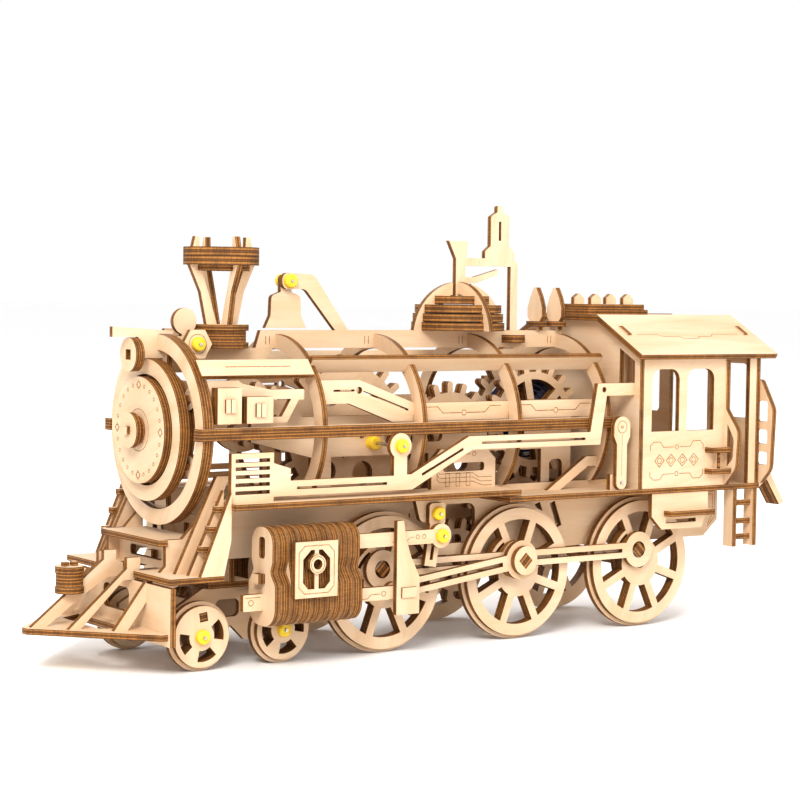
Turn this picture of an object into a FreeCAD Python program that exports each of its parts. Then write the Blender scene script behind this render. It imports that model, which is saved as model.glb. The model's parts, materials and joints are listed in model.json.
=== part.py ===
import FreeCAD, Part
import math
import os
from FreeCAD import Vector

# Wooden clockwork locomotive kit, cut from plywood sheet and slotted together.
# Front of the engine points to -X, +Y is the far side, Z is up from the rail head.
# Every length is in millimetres.

# ------------------------------------------------------------ driving dimensions
PLY = 2.0                 # thickness of the sheet
SLIDE = 0.05              # slack of a tab in a slot and of a pin in a running hole
ORIGIN_SHIFT_X = 29.0     # from the middle driving axle to the middle of the whole length

DRIVER_R = 23.0           # tyre of a driving wheel
DRIVER_FLANGE_R = 24.3
DRIVER_SPACING = 58.0
TYRE_Y = 27.5             # outer face of every wheel
AXLE_R = 2.4
AXLE_HALF = 27.2
CRANK_R = 5.75
CRANK_ANGLE = 120.0
PEG = 4.2                 # square crank peg
ROD_HOLE_R = 3.05
SIDE_ROD_Y = 27.9
MAIN_ROD_Y = 31.2
CAP_Y = 33.4              # inner face of the washers on the middle crank
SHORT_PEG_Y = 30.4
LONG_PEG_Y = CAP_Y + 2.1

TRUCK_R = 10.1            # small leading wheels
TRUCK_FLANGE_R = TRUCK_R + DRIVER_FLANGE_R - DRIVER_R
TRUCK_X = (-130.0, -99.0)
STEEL_R = 0.55            # steel wire pins
CAP_R = 2.4               # soft plastic retaining caps

FRAME_Y = 19.0            # inner face of the main frames
FRAME_TOP = 54.0
DECK_TOP = 51.5
FRONT_DECK_TOP = 54.0
DECK_STEP_X = 46.9
DECK_EDGE = 40.0

BOILER_Z = 76.0
BOILER_R = 31.7
HOOP_X = (-86.0, -45.0, -3.5, 38.0)
HOOP_INNER = 26.5
RAIL_Y = 33.0
FRONT_RING_X = -132.7
SPINE_TOP = 109.0
SPINE_BOTTOM = 102.8

PISTON_Y = 36.3           # middle plane of both cylinder bores
PISTON_Z = 21.0
VALVE_Z = 39.2
CYLINDER_FRONT = -113.0
CYLINDER_LAYERS = 17

CAB_FRONT = 47.0
CAB_REAR = 106.0
CAB_SIDE_Y = 38.0         # outer face of the side walls
EAVE_Z = 99.3
ROOF_FRONT = 43.5
ROOF_REAR = 112.0
EAVE_Y = 42.0
RIDGE_Y = 17.0
RIDGE_Z = 113.0

GEAR_MODULE = 2.0
GEAR_WIDTH = 3.6
TOOTH_HALF = 1.2          # half thickness of a finger-shaped tooth
GEAR_PIN_R = 1.0
NEAR_GEAR_Y = -7.5
FAR_GEAR_Y = 3.9
LINK_GEAR_Y = 9.6
PLATE_Y = 15.0            # inner face of the plates that carry the gear pins

PILOT_TIP = -180.0
PILOT_TOP = 13.3
BACK_PLATE_X = -147.0

WHEEL_Z = DRIVER_R
WHEEL_X = (-DRIVER_SPACING, 0.0, DRIVER_SPACING)


# ------------------------------------------------------------ drawing helpers
def at(plane, u, v, w):
    """Point u, v of a sheet that lies in the named plane, at the depth w."""
    if plane == "xz":
        return Vector(u, w, v)
    if plane == "yz":
        return Vector(w, u, v)
    return Vector(u, v, w)


def normal(plane):
    return {"xz": Vector(0, 1, 0), "yz": Vector(1, 0, 0), "xy": Vector(0, 0, 1)}[plane]


def polar(u, v, radius, degrees):
    angle = math.radians(degrees)
    return (u + radius * math.cos(angle), v + radius * math.sin(angle))


def disc(u, v, radius):
    return {"kind": "disc", "u": u, "v": v, "r": radius}


def rect(u0, u1, v0, v1, radius=0.0):
    corners = [(u0, v0), (u1, v0), (u1, v1), (u0, v1)]
    return [(u, v, radius) for u, v in corners]


def strip(start, end, width):
    """A straight slot or bar, square at both ends."""
    du, dv = end[0] - start[0], end[1] - start[1]
    length = math.hypot(du, dv)
    nu, nv = -dv / length * width / 2, du / length * width / 2
    return [
        (start[0] - nu, start[1] - nv),
        (end[0] - nu, end[1] - nv),
        (end[0] + nu, end[1] + nv),
        (start[0] + nu, start[1] + nv),
    ]


def sector(u, v, inner, outer, first, last, gap=0.0):
    """Part of a ring between two angles, its straight sides gap away from the radii."""
    return {"kind": "sector", "u": u, "v": v, "in": inner, "out": outer, "a": first, "b": last, "gap": gap}


def square(u, v, side, turn=0.0):
    half = side / math.sqrt(2)
    return [polar(u, v, half, turn + 45 + 90 * k) for k in range(4)]


def arc_edge(plane, w, u, v, radius, first, last):
    middle = (first + last) / 2
    ends = [at(plane, *polar(u, v, radius, a), w) for a in (first, middle, last)]
    return Part.Arc(*ends).toShape()


def line_edge(start, end):
    return Part.LineSegment(start, end).toShape()


def sector_wire(plane, spec, w):
    u, v, inner, outer = spec["u"], spec["v"], spec["in"], spec["out"]
    lean_in = math.degrees(math.asin(spec["gap"] / inner))
    lean_out = math.degrees(math.asin(spec["gap"] / outer))
    a_in, b_in = spec["a"] + lean_in, spec["b"] - lean_in
    a_out, b_out = spec["a"] + lean_out, spec["b"] - lean_out
    corners = [polar(u, v, inner, a_in), polar(u, v, outer, a_out)]
    corners += [polar(u, v, outer, b_out), polar(u, v, inner, b_in)]
    points = [at(plane, *c, w) for c in corners]
    return Part.Wire([
        line_edge(points[0], points[1]),
        arc_edge(plane, w, u, v, outer, a_out, b_out),
        line_edge(points[2], points[3]),
        arc_edge(plane, w, u, v, inner, b_in, a_in),
    ])


def outline_wire(plane, points, w):
    """Closed outline; a third number on a point rounds that corner."""
    count = len(points)
    corners = []
    for k in range(count):
        here = at(plane, points[k][0], points[k][1], w)
        radius = points[k][2] if len(points[k]) > 2 else 0.0
        if radius <= 0:
            corners.append((here, here, None))
            continue
        before = at(plane, points[k - 1][0], points[k - 1][1], w) - here
        after = at(plane, points[(k + 1) % count][0], points[(k + 1) % count][1], w) - here
        half = before.getAngle(after) / 2
        before.normalize()
        after.normalize()
        reach = radius / math.tan(half)
        bisector = before + after
        bisector.normalize()
        middle = here + bisector * (radius / math.sin(half) - radius)
        corners.append((here + before * reach, here + after * reach, middle))
    edges = []
    for k in range(count):
        start, end, middle = corners[k]
        if middle is not None:
            edges.append(Part.Arc(start, middle, end).toShape())
        following = corners[(k + 1) % count][0]
        if end.distanceToPoint(following) > 1e-6:
            edges.append(line_edge(end, following))
    return Part.Wire(edges)


def wire(plane, spec, w):
    if isinstance(spec, Part.Wire):
        return spec
    if isinstance(spec, dict) and spec["kind"] == "disc":
        centre = at(plane, spec["u"], spec["v"], w)
        return Part.Wire([Part.Circle(centre, normal(plane), spec["r"]).toShape()])
    if isinstance(spec, dict):
        return sector_wire(plane, spec, w)
    return outline_wire(plane, spec, w)


def plate(plane, outline, w0, w1, holes=()):
    """A sheet piece: outline and holes in a plane, from the depth w0 to w1."""
    low, high = min(w0, w1), max(w0, w1)
    wires = [wire(plane, outline, low)] + [wire(plane, hole, low) for hole in holes]
    face = Part.makeFace(wires, "Part::FaceMakerBullseye")
    body = face.extrude(normal(plane) * (high - low))
    solid = body.Solids[0]
    if solid.Volume < 0:
        solid.reverse()
    return solid


def box(x0, x1, y0, y1, z0, z1):
    return Part.makeBox(x1 - x0, y1 - y0, z1 - z0, Vector(x0, y0, z0))


def rod(plane, u, v, radius, w0, w1):
    return plate(plane, disc(u, v, radius), w0, w1)


def mirror_solid(solid):
    return solid.mirror(Vector(0, 0, 0), Vector(0, 1, 0)).Solids[0]


def both(solids):
    """The near-side pieces and their copies on the far side."""
    return list(solids) + [mirror_solid(solid) for solid in solids]


def cut(solid, tools):
    """Slots in one piece for the pieces that pass through it."""
    result = solid.cut(Part.makeCompound(tools))
    return [piece for piece in result.Solids if piece.Volume > 0.5]


def crank_offset():
    return polar(0, 0, CRANK_R, CRANK_ANGLE)


def crank_point(x):
    dx, dz = crank_offset()
    return (x + dx, WHEEL_Z + dz)


SPOKES = 8
SPOKE_HALF = 1.5
SPOKE_FIRST = 25.0
RIM_INNER = 18.9
HUB_R = 9.0
WEIGHT_R = 14.2
WEIGHT_SPOKES = (2,)


def spoke_windows(x):
    windows = []
    for k in range(SPOKES):
        first = SPOKE_FIRST + k * 360 / SPOKES
        inner = WEIGHT_R if k in WEIGHT_SPOKES else HUB_R
        windows.append(sector(x, WHEEL_Z, inner, RIM_INNER, first, first + 360 / SPOKES, SPOKE_HALF))
    return windows


def driver_wheels(x):
    """Outer tyre disc with its crank boss and the wider flange disc behind it."""
    axle_hole = disc(x, WHEEL_Z, AXLE_R + 0.02)
    peg_hole = square(*crank_point(x), PEG + 0.04, 45)
    slot = sector(x, WHEEL_Z, 11.6, 12.9, 122, 153)
    tyre = plate("xz", disc(x, WHEEL_Z, DRIVER_R), -TYRE_Y, -TYRE_Y + PLY,
                 spoke_windows(x) + [axle_hole, peg_hole, slot])
    flange = plate("xz", disc(x, WHEEL_Z, DRIVER_FLANGE_R), -TYRE_Y + PLY, -TYRE_Y + 2 * PLY,
                   spoke_windows(x) + [axle_hole, peg_hole, slot])
    return both([tyre, flange])


def crank_pegs(x, outer):
    return both([plate("xz", square(*crank_point(x), PEG, 45), -outer, -TYRE_Y + 2 * PLY)])


def driver_axle(x):
    return [rod("xz", x, WHEEL_Z, AXLE_R, -AXLE_HALF, AXLE_HALF)]


def driver_set(x, peg_end):
    return driver_wheels(x) + crank_pegs(x, peg_end) + driver_axle(x)


def side_rod():
    """Coupling rod over the three crank pegs, two thin bars with a slot between."""
    y0, y1 = -SIDE_ROD_Y - PLY, -SIDE_ROD_Y
    centres = [crank_point(x) for x in WHEEL_X]
    pieces = [plate("xz", disc(cx, cz, 6.65), y0, y1) for cx, cz in centres]
    for (ax, az), (bx, bz) in zip(centres, centres[1:]):
        pieces.append(plate("xz", strip((ax, az), (bx, bz), 5.6), y0, y1))
    whole = pieces[0].multiFuse(pieces[1:]).removeSplitter()
    tools = [plate("xz", disc(cx, cz, ROD_HOLE_R), y0, y1) for cx, cz in centres]
    for (ax, az), (bx, bz) in zip(centres, centres[1:]):
        tools.append(plate("xz", strip((ax + 8, az), (bx - 8, bz), 1.4), y0, y1))
    return cut(whole, tools)


def main_rod():
    """Connecting rod from the middle crank towards the crosshead."""
    y0, y1 = -MAIN_ROD_Y - PLY, -MAIN_ROD_Y
    big = crank_point(0)
    small = (-58.5, 20.75)
    slope = (big[1] - small[1]) / (big[0] - small[0])
    pieces = [
        plate("xz", disc(*big, 7.0), y0, y1),
        plate("xz", disc(*small, 3.2), y0, y1),
        plate("xz", strip(small, big, 5.6), y0, y1),
    ]
    whole = pieces[0].multiFuse(pieces[1:]).removeSplitter()
    tools = [
        plate("xz", disc(*big, ROD_HOLE_R), y0, y1),
        plate("xz", strip((small[0] + 6, small[1] + 6 * slope), (big[0] - 8.5, big[1] - 8.5 * slope),
                          1.5), y0, y1),
    ]
    return cut(whole, tools)


def crank_caps():
    """Two-layer washer glued on the end of the middle crank peg."""
    hole = square(*crank_point(0), PEG + 0.04, 45)
    layers = []
    for k in range(2):
        y1 = -CAP_Y - k * 1.05
        layers.append(plate("xz", disc(*crank_point(0), 5.15), y1 - 1.05, y1, [hole]))
    return both(layers)


def truck_wheels(x):
    """Leading wheel: face disc, flange disc and inner disc, with three arc windows."""
    z = TRUCK_R
    windows = [sector(x, z, 4.6, 8.2, a - 26, a + 26) for a in (15, -75, -165)]
    hole = disc(x, z, STEEL_R + 0.02)
    peg = square(x + 0.6, z + 6.4, 3.0, 8)
    discs = [(TRUCK_R, 0), (TRUCK_FLANGE_R, 1), (TRUCK_R, 2)]
    layers = []
    for radius, k in discs:
        y0 = -TYRE_Y + 0.2 + k * PLY
        layers.append(plate("xz", disc(x, z, radius), y0, y0 + PLY, windows + [hole, peg]))
    layers.append(plate("xz", square(x + 0.6, z + 6.4, 2.96, 8), -TYRE_Y + 0.7, -TYRE_Y + 0.2 + 3 * PLY))
    return both(layers)


def truck_axle(x):
    return [rod("xz", x, TRUCK_R, STEEL_R, -TYRE_Y - 2.4, TYRE_Y + 2.4)]


def pin_cap(x, z, y0, y1, pin_r=STEEL_R):
    """Soft cap: a short drum with a rounded front, pushed on a steel pin."""
    front, back = min(y0, y1), max(y0, y1)
    drum = rod("xz", x, z, CAP_R, front, back)
    rounded = drum.makeFillet(0.7, [edge for edge in drum.Edges if edge.BoundBox.YMax < front + 0.01])
    return cut(rounded, [rod("xz", x, z, pin_r + 0.02, front - 1, back + 1)])[0]


def truck_caps(x):
    return both([pin_cap(x, TRUCK_R, -TYRE_Y - 1.8, -TYRE_Y + 0.2)])


def truck_frame():
    """Two side plates and two cross bars that hold the small axles."""
    z = TRUCK_R
    front, rear = TRUCK_X
    outline = [(front - 8, z - 4), (front + 9, z - 4), (front + 14, z + 1), (rear - 14, z + 1),
               (rear - 9, z - 4), (rear + 8, z - 4), (rear + 8, z + 6), (rear - 6, z + 14),
               (front + 6, z + 14), (front - 8, z + 6)]
    holes = [disc(x, z, STEEL_R + SLIDE) for x in TRUCK_X]
    holes.append(rect(front + 11, rear - 11, z + 4, z + 10, 2))
    sides = both([plate("xz", outline, -17.0, -15.0, holes)])
    bars = [box(x - 1, x + 1, -15.0, 15.0, z + 1.5, z + 9) for x in (front + 8, rear - 8)]
    top = plate("xy", rect(front + 7, rear - 7, -FRAME_Y, FRAME_Y), z + 14, z + 16)
    return sides + bars + [top]


# ------------------------------------------------------------ main frames
def main_frames():
    """Deep side plates with a horn at each driving axle and windows between."""
    low = 30.0
    outline = [(-122, FRAME_TOP), (DECK_STEP_X, FRAME_TOP), (DECK_STEP_X, DECK_TOP - PLY),
               (103, DECK_TOP - PLY), (103, 36), (96, low)]
    for x in reversed(WHEEL_X):
        outline += [(x + 9, low), (x + 6, WHEEL_Z - 6, 2), (x - 6, WHEEL_Z - 6, 2), (x - 9, low)]
    outline += [(-84, 31), (-92, 34), (-128, 34), (-134, 27), (-145, 22), (-145, 28), (-140, 33),
                (-140, 41.5), (-134, 41.5)]
    holes = [disc(x, WHEEL_Z, AXLE_R + SLIDE) for x in WHEEL_X]
    holes += [rect(-44, -15, 34, 48, 3), rect(68, 90, 35, 45, 2), rect(-127, -119, 38, 48, 2)]
    holes += [strip((x, 46.5), (x + 3.4, 37.5), 2.4) for x in (13.5, 20.5)]
    return both([plate("xz", outline, -FRAME_Y - PLY, -FRAME_Y, holes)])


def frame_ties():
    """Upright cross plates between the main frames."""
    spots = [(-114, TRUCK_R + 16, 46), (-79, 33, 46), (-29, 31, 46), (94, 33, 48)]
    ties = []
    for x, z0, z1 in spots:
        window = rect(-12, 12, z0 + 3, z1 - 3, 1)
        ties.append(plate("yz", rect(-FRAME_Y, FRAME_Y, z0, z1), x - 1, x + 1, [window]))
    return ties


# ------------------------------------------------------------ cylinders and valve gear
def cylinder_profile(grow, waisted):
    """Outline across the engine: a large lobe below, a smaller one above."""
    low_r, high_r = 8.4 + grow, 6.6 + grow
    low = (-PISTON_Y, PISTON_Z + 1.0)
    high = (-PISTON_Y, VALVE_Z + 0.3)
    waist = 5.2 if waisted else 7.6
    return [
        (low[0] - low_r, low[1] - low_r, 6.5), (low[0] + low_r, low[1] - low_r, 6.5),
        (low[0] + low_r, low[1] + 5.5, 2.5), (low[0] + waist + grow, low[1] + 9.5, 2),
        (high[0] + high_r, high[1] - 4.5, 2), (high[0] + high_r, high[1] + high_r, 5.5),
        (high[0] - high_r, high[1] + high_r, 5.5), (high[0] - high_r, high[1] - 4.5, 2),
        (low[0] - waist - grow, low[1] + 9.5, 2), (low[0] - low_r, low[1] + 5.5, 2.5),
    ]


def cylinder_side():
    """Seventeen sheets threaded on the rods make one cylinder and valve chest."""
    layers = []
    for k in range(CYLINDER_LAYERS):
        x0 = CYLINDER_FRONT + k * PLY
        waisted = k < 3 or k > 11
        grow = 0.0 if k % 2 else -0.15
        holes = []
        if k >= 7:
            holes = [
                rect(-PISTON_Y - 1.15, -PISTON_Y + 1.15, PISTON_Z - 2.45, PISTON_Z + 2.45),
                rect(-PISTON_Y - 1.15, -PISTON_Y + 1.15, VALVE_Z - 2.75, VALVE_Z + 2.75),
            ]
        elif k < 2:
            holes = [rect(-PISTON_Y - 1.7, -PISTON_Y + 1.7, VALVE_Z - 3.5, VALVE_Z + 3.5, 1)]
        layers.append(plate("yz", cylinder_profile(grow, waisted), x0, x0 + PLY, holes))
    return layers


def cylinder_covers():
    """Outer cover with an eight-sided window and a ring on a stem."""
    y1 = -PISTON_Y - 8.4
    cx, cz = -98.5, 32.4
    outline = rect(cx - 8.2, cx + 8.2, cz - 9.2, cz + 9.2)
    ring_r, stem = 3.1, 0.8
    window = [(cx - 5.2, cz - 4.2), (cx - 3.2, cz - 6.4), (cx - stem, cz - 6.4), (cx - stem, cz - 1.6),
              (cx - 3.0, cz + 0.6), (cx - 3.0, cz + 3.0), (cx - stem, cz + 5.2), (cx - stem, cz + 6.4),
              (cx - 2.2, cz + 6.4), (cx - 5.2, cz + 3.4)]
    other = [(2 * cx - u, v) for u, v in window]
    cover = plate("xz", outline, y1 - PLY, y1, [window, other, disc(cx, cz + 1.7, 1.7)])
    ring = plate("xz", disc(cx, cz + 1.7, ring_r), y1 - PLY - 0.8, y1 - PLY, [disc(cx, cz + 1.7, 1.7)])
    return both([cover, ring])


def cylinder_fittings():
    """Piston tail guide, drain block and the saddle beams behind the cylinders."""
    tail = plate("xz", rect(-120.5, CYLINDER_FRONT, 18.8, 24.2, 0.4), -PISTON_Y - 1, -PISTON_Y + 1)
    drain = box(-115.5, CYLINDER_FRONT, -PISTON_Y - 2, -PISTON_Y + 2, 27.6, 30.8)
    saddle = []
    for x in (-101.0, -91.0):
        saddle += cut(box(x, x + PLY, -31, -FRAME_Y - PLY, 34.2, 39), cylinder_side())
    return both([tail, drain] + saddle)


def crosshead():
    """Tapered crosshead plate on the piston rod, held by a tab through a slot."""
    y = -PISTON_Y - 1
    bar = plate("xz", rect(-95, -53.4, PISTON_Z - 2.25, PISTON_Z + 2.25), y, y + PLY)
    outline = [(-61.5, 13.5), (-52, 13.5), (-52, 26), (-55.6, 33), (-57.6, 39), (-58.9, 45.5), (-61.5, 45.5)]
    slot = rect(-59.6, -53.4, PISTON_Z - 1.8, PISTON_Z + 1.8)
    cross = plate("xz", outline, y - PLY - 0.02, y - 0.02, [slot])
    tab = plate("xz", rect(-59.5, -53.5, PISTON_Z - 1.7, PISTON_Z + 1.7), y - PLY - 0.6, y)
    return [bar, cross, tab]


LEVER_PIN = (-40.4, 46.5)
LEVER_FOOT = (-43.2, 28.3)
VALVE_PIN = (-41.5, VALVE_Z)


def valve_bracket():
    """Plate hanging from the running board that carries the valve lever."""
    outline = [(-48.5, FRONT_DECK_TOP - PLY), (-38, FRONT_DECK_TOP - PLY), (-38, 43.5, 2), (-46, 43.5, 2)]
    return both([plate("xz", outline, -31.0, -29.0, [disc(*LEVER_PIN, STEEL_R + 0.02)])])


def valve_lever():
    """Slotted lever that swings on the bracket pin and carries the valve rod."""
    (px, pz), (fx, fz) = LEVER_PIN, LEVER_FOOT
    lean = (fx - px) / (fz - pz)
    y0, y1 = -33.2, -31.2
    head = plate("xz", rect(px - 3.4, px + 3.4, pz - 4.2, pz + 3.6, 1.4), y0, y1)
    arm = plate("xz", strip((px - 0.3, pz - 2), (fx, fz), 5.0), y0, y1)
    whole = head.fuse(arm).removeSplitter()
    slot = strip((px - 5 * lean, pz - 5), (px - 16 * lean, pz - 16), 2 * STEEL_R + 0.18)
    return cut(whole, [plate("xz", disc(px, pz, STEEL_R + SLIDE), y0, y1), plate("xz", slot, y0, y1)])


def valve_rod():
    """Flat valve rod with a round eye at its rear end."""
    y = -PISTON_Y - 0.9
    bar = plate("xz", rect(-95, VALVE_PIN[0] - 1, VALVE_Z - 2.4, VALVE_Z + 2.4), y, y + PLY)
    eye = plate("xz", disc(*VALVE_PIN, 4.2), y, y + PLY)
    whole = bar.fuse(eye).removeSplitter()
    return cut(whole, [plate("xz", disc(*VALVE_PIN, STEEL_R + 0.02), y, y + PLY)])


def valve_rod_pin():
    return [rod("xz", *VALVE_PIN, STEEL_R, -PISTON_Y - 3.4, -31.3)]


def valve_rod_cap():
    return [pin_cap(*VALVE_PIN, -PISTON_Y - 2.9, -PISTON_Y - 1.02)]


# ------------------------------------------------------------ decks and front end
def decks():
    """Front boards beside the boiler, and the cab floor that reaches forward below them."""
    inner = FRAME_Y + PLY
    front = plate("xy", rect(-125, -9, -DECK_EDGE, -inner), FRONT_DECK_TOP - PLY, FRONT_DECK_TOP)
    outline = [(-13, -38.5), (108, -38.5), (108, 38.5), (-13, 38.5), (-13, inner), (DECK_STEP_X, inner),
               (DECK_STEP_X, -inner), (-13, -inner)]
    return both([front]) + [plate("xy", outline, DECK_TOP - PLY, DECK_TOP)]


def pilot_ribs():
    """Sloping upright ribs, the middle one tallest."""
    foot = PILOT_TOP
    middle = [(-178, foot), (-152, 33.8), (-152, 36.8), (-147.6, 36.8), (-147.6, 33.6), (-145, 32.4),
              (-145, 28), (-150.5, 28, 2), (-157, 24.2, 3), (-172.5, foot)]
    inner = [(-169.5, foot), (-148.8, 31.6), (-148.8, 35.2), (-144, 35.2), (-144, 28), (-150.2, 28),
             (-165.2, foot)]
    outer = [(-158.5, foot), (BACK_PLATE_X, 28.6), (BACK_PLATE_X, 22), (-153.6, foot)]
    side = [plate("xz", inner, -11, -9), plate("xz", outer, -21, -19)]
    return [plate("xz", middle, -1, 1)] + both(side)


def pilot():
    """Pointed base plate with a window, the upright plate behind it and the ribs."""
    tip = [(PILOT_TIP, -1.5), (-149, -35.5), (BACK_PLATE_X, -35.5), (BACK_PLATE_X, 35.5), (-149, 35.5),
           (PILOT_TIP, 1.5)]
    window = [(-160, -13), (-152, -18), (-152, 18), (-160, 13)]
    base = plate("xy", tip, PILOT_TOP - PLY, PILOT_TOP, [window])
    back = plate("yz", rect(-37, 37, PILOT_TOP - 4, 28), BACK_PLATE_X, BACK_PLATE_X + PLY,
                 [rect(-9, 9, 17, 25, 2)])
    return [base, back] + pilot_ribs()


def coupler_drum():
    """Coupler built from four discs, slotted over the middle rib, with two pegs on top."""
    cx, z0, layer = -164.0, 23.6, 2.2
    rib_entry = (-165.0, -162.2)
    layers = []
    for k in range(4):
        low = z0 + k * layer
        body = rod("xy", cx, 0, 4.7 if k in (0, 3) else 4.4, low, low + layer)
        if k < 2:
            body = cut(body, [box(rib_entry[k], -150, -1, 1, low - 1, low + layer + 1)])[0]
        layers.append(body)
    top = z0 + 4 * layer
    pegs = [box(cx - 2.6 + 3.2 * k, cx - 0.6 + 3.2 * k, -1, 1, top, top + 1.4) for k in range(2)]
    return layers + pegs


def front_platforms():
    """Side steps, and the raised middle platform on its riser."""
    side = plate("xy", [(BACK_PLATE_X, -36.5), (-127, -36.5), (-127, -12), (BACK_PLATE_X, -12)], 29, 31)
    side = cut(side, main_frames())
    lip, inner = 22.2, FRAME_Y
    outline = [(-142.5, -20), (-140, -lip), (-140, -inner), (-126, -inner), (-126, inner), (-140, inner),
               (-140, lip), (-142.5, 20)]
    middle = plate("xy", outline, 39.5, 41.5)
    riser = plate("yz", rect(-FRAME_Y, FRAME_Y, 31, 39.5), -136, -134, [rect(-11, 11, 33.5, 37, 1)])
    return both(side) + [middle, riser]


def front_stairs():
    """Three sloping boards a side with treads between the outer two."""
    inner = plate("xz", [(-139.4, 31), (-134.4, 31), (-119.5, 62), (-124.5, 62)], -26.5, -24.5)
    inner = cut(inner, decks() + smokebox_front())[0]
    middle = plate("xz", [(-137.6, 31), (-132.8, 31), (-125, 47), (-125, 58)], -32, -30)
    outer = plate("xz", [(-136, 31), (-127.5, 31), (-125, 42), (-125, 57.5)], -37, -35)
    treads = [box(-134.8 + 2.8 * k, -130.6 + 2.8 * k, -35, -32, 38.5 + 6.3 * k, 40.5 + 6.3 * k)
              for k in range(3)]
    return both([inner, middle, outer] + treads)


# ------------------------------------------------------------ boiler
def around_boiler(solid, degrees):
    """Turn a piece drawn at the top of the boiler round its axis."""
    copy = solid.copy()
    copy.rotate(Vector(0, 0, BOILER_Z), Vector(1, 0, 0), degrees)
    return copy


def mid_rails():
    """Two long strips, one on the other, along each side at the axle line of the boiler."""
    strips = [box(-134.5, 38.5, -RAIL_Y, -29, BOILER_Z - 2, BOILER_Z),
              box(-134.5, 38.5, -RAIL_Y, -29, BOILER_Z, BOILER_Z + 2)]
    return both(strips)


def upper_rails():
    """Radial strips on both shoulders, and the flat planks beside the smokebox."""
    rails = []
    for side in (-1, 1):
        rails.append(around_boiler(box(-87, 40, -1, 1, BOILER_Z + 28, BOILER_Z + 34.5), side * 45))
        plank = around_boiler(box(-131, -88, -3.25, 3.25, BOILER_Z + 31.3, BOILER_Z + 33.3), side * 50)
        rails += cut(plank, smokebox_rings())
    return rails


def hoop(x):
    ring = plate("yz", disc(0, BOILER_Z, BOILER_R), x - 1, x + 1, [disc(0, BOILER_Z, HOOP_INNER)])
    lap = box(x - 1, x + 1, -1, 1, (SPINE_TOP + SPINE_BOTTOM) / 2, SPINE_TOP)
    below = box(x - 2, x + 2, -40, 40, 40, FRAME_TOP)
    return cut(ring, mid_rails() + upper_rails() + [lap, below])


def boiler_hoops():
    hoops = []
    for x in HOOP_X:
        hoops += hoop(x)
    return hoops


BELL_PIN = (-81.5, 126.0)
STACK_X = -108.2
DOME_X = -8.3
MARKER_X = -122.5
SPINE_FRONT_Z = 103.0


def spine_plate():
    """Ridge plate along the top of the boiler with the arm that holds the bell."""
    bx, bz = BELL_PIN
    outline = [(FRONT_RING_X + 4, 98.5), (-91, 98.5), (-88, SPINE_BOTTOM), (40, SPINE_BOTTOM),
               (40, SPINE_TOP),
               (-57, SPINE_TOP), (-71.5, bz + 2.4, 4), (bx - 2.9, bz + 2.9, 2.4), (bx - 2.9, bz - 2.9, 2.4),
               (-75, bz - 2.7, 3), (-62.5, SPINE_TOP), (-93, SPINE_TOP), (-95, SPINE_FRONT_Z),
               (MARKER_X + 4, SPINE_FRONT_Z), (MARKER_X + 3, 107), (MARKER_X - 3, 107),
               (MARKER_X - 4, SPINE_FRONT_Z), (FRONT_RING_X + 4, SPINE_FRONT_Z)]
    holes = [disc(bx, bz, STEEL_R + 0.02), disc(MARKER_X, 104.6, STEEL_R + 0.02)]
    whole = plate("xz", outline, -1, 1, holes)
    laps = [box(x - 1, x + 1, -1, 1, 90, (SPINE_TOP + SPINE_BOTTOM) / 2) for x in HOOP_X]
    return cut(whole, laps)


SPOKE_ANGLES = tuple(90 + 60 * k for k in range(6))


def smokebox_rings():
    """Outer ring of the smokebox and the windowed disc behind it."""
    x = FRONT_RING_X
    front = plate("yz", disc(0, BOILER_Z, BOILER_R), x, x + PLY, [disc(0, BOILER_Z, HOOP_INNER)])
    windows = [sector(0, BOILER_Z, 19.5, 26, a + 9, a + 51) for a in SPOKE_ANGLES]
    back = plate("yz", disc(0, BOILER_Z, BOILER_R), x + PLY, x + 2 * PLY, windows + [disc(0, BOILER_Z, 7)])
    tools = mid_rails() + main_frames()
    return cut(front, tools) + cut(back, tools)


def radial_pegs(x0, x1, radius, angles, side):
    pegs = []
    for angle in angles:
        peg = box(x0, x1, -side / 2, side / 2, BOILER_Z + radius - side / 2, BOILER_Z + radius + side / 2)
        pegs.append(around_boiler(peg, angle - 90))
    return pegs


def smokebox_front():
    """Rings of the smokebox, the smaller ring standing in front on square pegs."""
    x = FRONT_RING_X
    ring = [plate("yz", disc(0, BOILER_Z, 23.6), x - 4 + k * 1.9, x - 4 + (k + 1) * 1.9,
                  [disc(0, BOILER_Z, 18.5)])
            for k in range(2)]
    pegs = radial_pegs(x - 0.2, x + PLY, 21.2, SPOKE_ANGLES, 2.4)
    return smokebox_rings() + ring + pegs


def smokebox_door():
    """Door of two discs with a hub in front, held by four square pegs."""
    x = FRONT_RING_X - 6.5
    door = [rod("yz", 0, BOILER_Z, 17.7, x + k * PLY, x + (k + 1) * PLY) for k in range(2)]
    pegs = radial_pegs(x + 2 * PLY, FRONT_RING_X + PLY, 12, (45, 135, 225, 315), 2.6)
    hub = [rod("yz", 0, BOILER_Z, radius, x - (k + 1) * 1.9, x - k * 1.9)
           for k, radius in enumerate((4.6, 5.85))]
    knob = box(x - 5.0, x - 3.8, -1.3, 1.3, BOILER_Z - 1.3, BOILER_Z + 1.3)
    return door + pegs + hub + [knob]


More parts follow.
